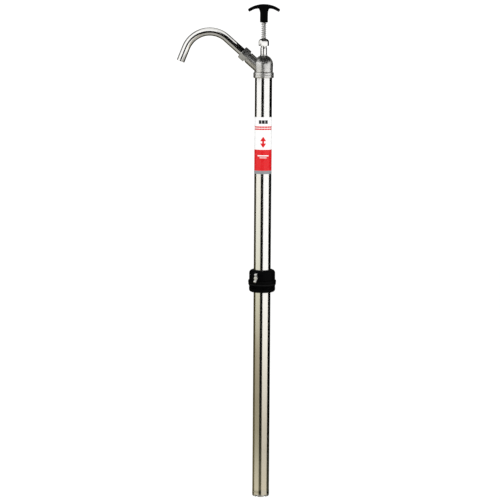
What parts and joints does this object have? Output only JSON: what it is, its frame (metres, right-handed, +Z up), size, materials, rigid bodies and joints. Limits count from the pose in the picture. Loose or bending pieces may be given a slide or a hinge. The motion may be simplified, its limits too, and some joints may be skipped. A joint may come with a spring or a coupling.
{
  "type": "lift-action hand drum pump",
  "caption": "Stainless lift-action hand pump for drums: long straight barrel, T-handle on a rod, domed head with a swan-neck spout, and a clamped black bung adapter.",
  "frame": {"origin": "on the barrel's axis, in the plane where the bung adapter's gasket seats on the drum", "axes": "+Z up along the barrel towards the T-handle, -X towards the spout, +Y completes the right-handed frame"},
  "size_m": [0.2273, 0.07, 1.1096],
  "materials": {
    "polished_steel": "polished stainless",
    "satin_steel": "satin stainless",
    "black_plastic": "satin moulded",
    "black_rubber": "matt",
    "ptfe": "satin",
    "label_film": "satin film",
    "brass": "machined"
  },
  "bodies": {
    "bung_adapter": {"adapter_body": "black_plastic", "bung_gasket": "black_rubber", "clamp_collar": "black_plastic"},
    "clamp_screw": {"clamp_wing_screw": "satin_steel"},
    "clamp_ring": {"clamp_seal": "black_rubber"},
    "pump": {"pump_barrel": "polished_steel", "barrel_label": "label_film", "foot_valve_body": "satin_steel", "foot_valve_o_ring": "black_rubber", "foot_valve_cage": "satin_steel", "pump_head": "satin_steel", "head_o_ring": "black_rubber", "gland_neck": "polished_steel", "packing_ring_1": "ptfe", "packing_ring_2": "ptfe", "packing_ring_3": "ptfe", "packing_ring_4": "ptfe", "gland_follower": "brass", "buffer_spring": "polished_steel", "spout_seal_washer": "ptfe"},
    "foot_ball": {"foot_valve_ball": "polished_steel"},
    "gland": {"gland_nut": "polished_steel"},
    "spout_union": {"spout_nut": "satin_steel"},
    "spout": {"spout_tube": "polished_steel", "spout_ferrule": "brass"},
    "plunger": {"piston_body": "satin_steel", "piston_cup_lower": "ptfe", "cup_spacer": "satin_steel", "piston_cup_upper": "ptfe", "cup_retaining_ring": "satin_steel"},
    "handle_and_rod": {"handle_grip": "black_plastic", "handle_insert": "brass", "pump_rod": "polished_steel", "valve_stop_collar": "satin_steel", "valve_stop_pin": "satin_steel", "stroke_stop_collar": "satin_steel", "rod_end_washer": "satin_steel", "rod_end_nut": "satin_steel"},
    "piston_valve": {"piston_valve_disc": "ptfe"}
  },
  "joints": [
    {"name": "clamp_screw_turn", "type": "hinge", "parent": "bung_adapter", "child": "clamp_screw", "pos_m": [0, 0, 0.0184], "axis": [-0.4067, -0.9135, 0], "continuous": true},
    {"name": "pump_turn", "type": "hinge", "parent": "bung_adapter", "child": "clamp_ring", "pos_m": [0, 0, 0.0294], "axis": [0, 0, 1], "continuous": true},
    {"name": "pump_height", "type": "slide", "parent": "clamp_ring", "child": "pump", "axis": [0, 0, 1], "range_m": [-0.42, 0.455]},
    {"name": "foot_valve_lift", "type": "slide", "parent": "pump", "child": "foot_ball", "axis": [0, 0, 1], "range_m": [0, 0.006]},
    {"name": "gland_nut_turn", "type": "hinge", "parent": "pump", "child": "gland", "pos_m": [0, 0, 0.539], "axis": [0, 0, 1], "continuous": true},
    {"name": "spout_nut_turn", "type": "hinge", "parent": "pump", "child": "spout_union", "pos_m": [0, 0, 0.4757], "axis": [-0.749, 0, 0.6626], "continuous": true},
    {"name": "spout_swivel", "type": "hinge", "parent": "pump", "child": "spout", "pos_m": [0, 0, 0.4757], "axis": [-0.749, 0, 0.6626], "range_deg": [-150, 150]},
    {"name": "plunger_stroke", "type": "slide", "parent": "pump", "child": "plunger", "axis": [0, 0, 1], "range_m": [0, 0.42]},
    {"name": "handle_turn", "type": "hinge", "parent": "plunger", "child": "handle_and_rod", "pos_m": [0, 0, 0.6], "axis": [0, 0, 1], "continuous": true},
    {"name": "piston_valve_lift", "type": "slide", "parent": "plunger", "child": "piston_valve", "axis": [0, 0, 1], "range_m": [0, 0.004]}
  ]
}
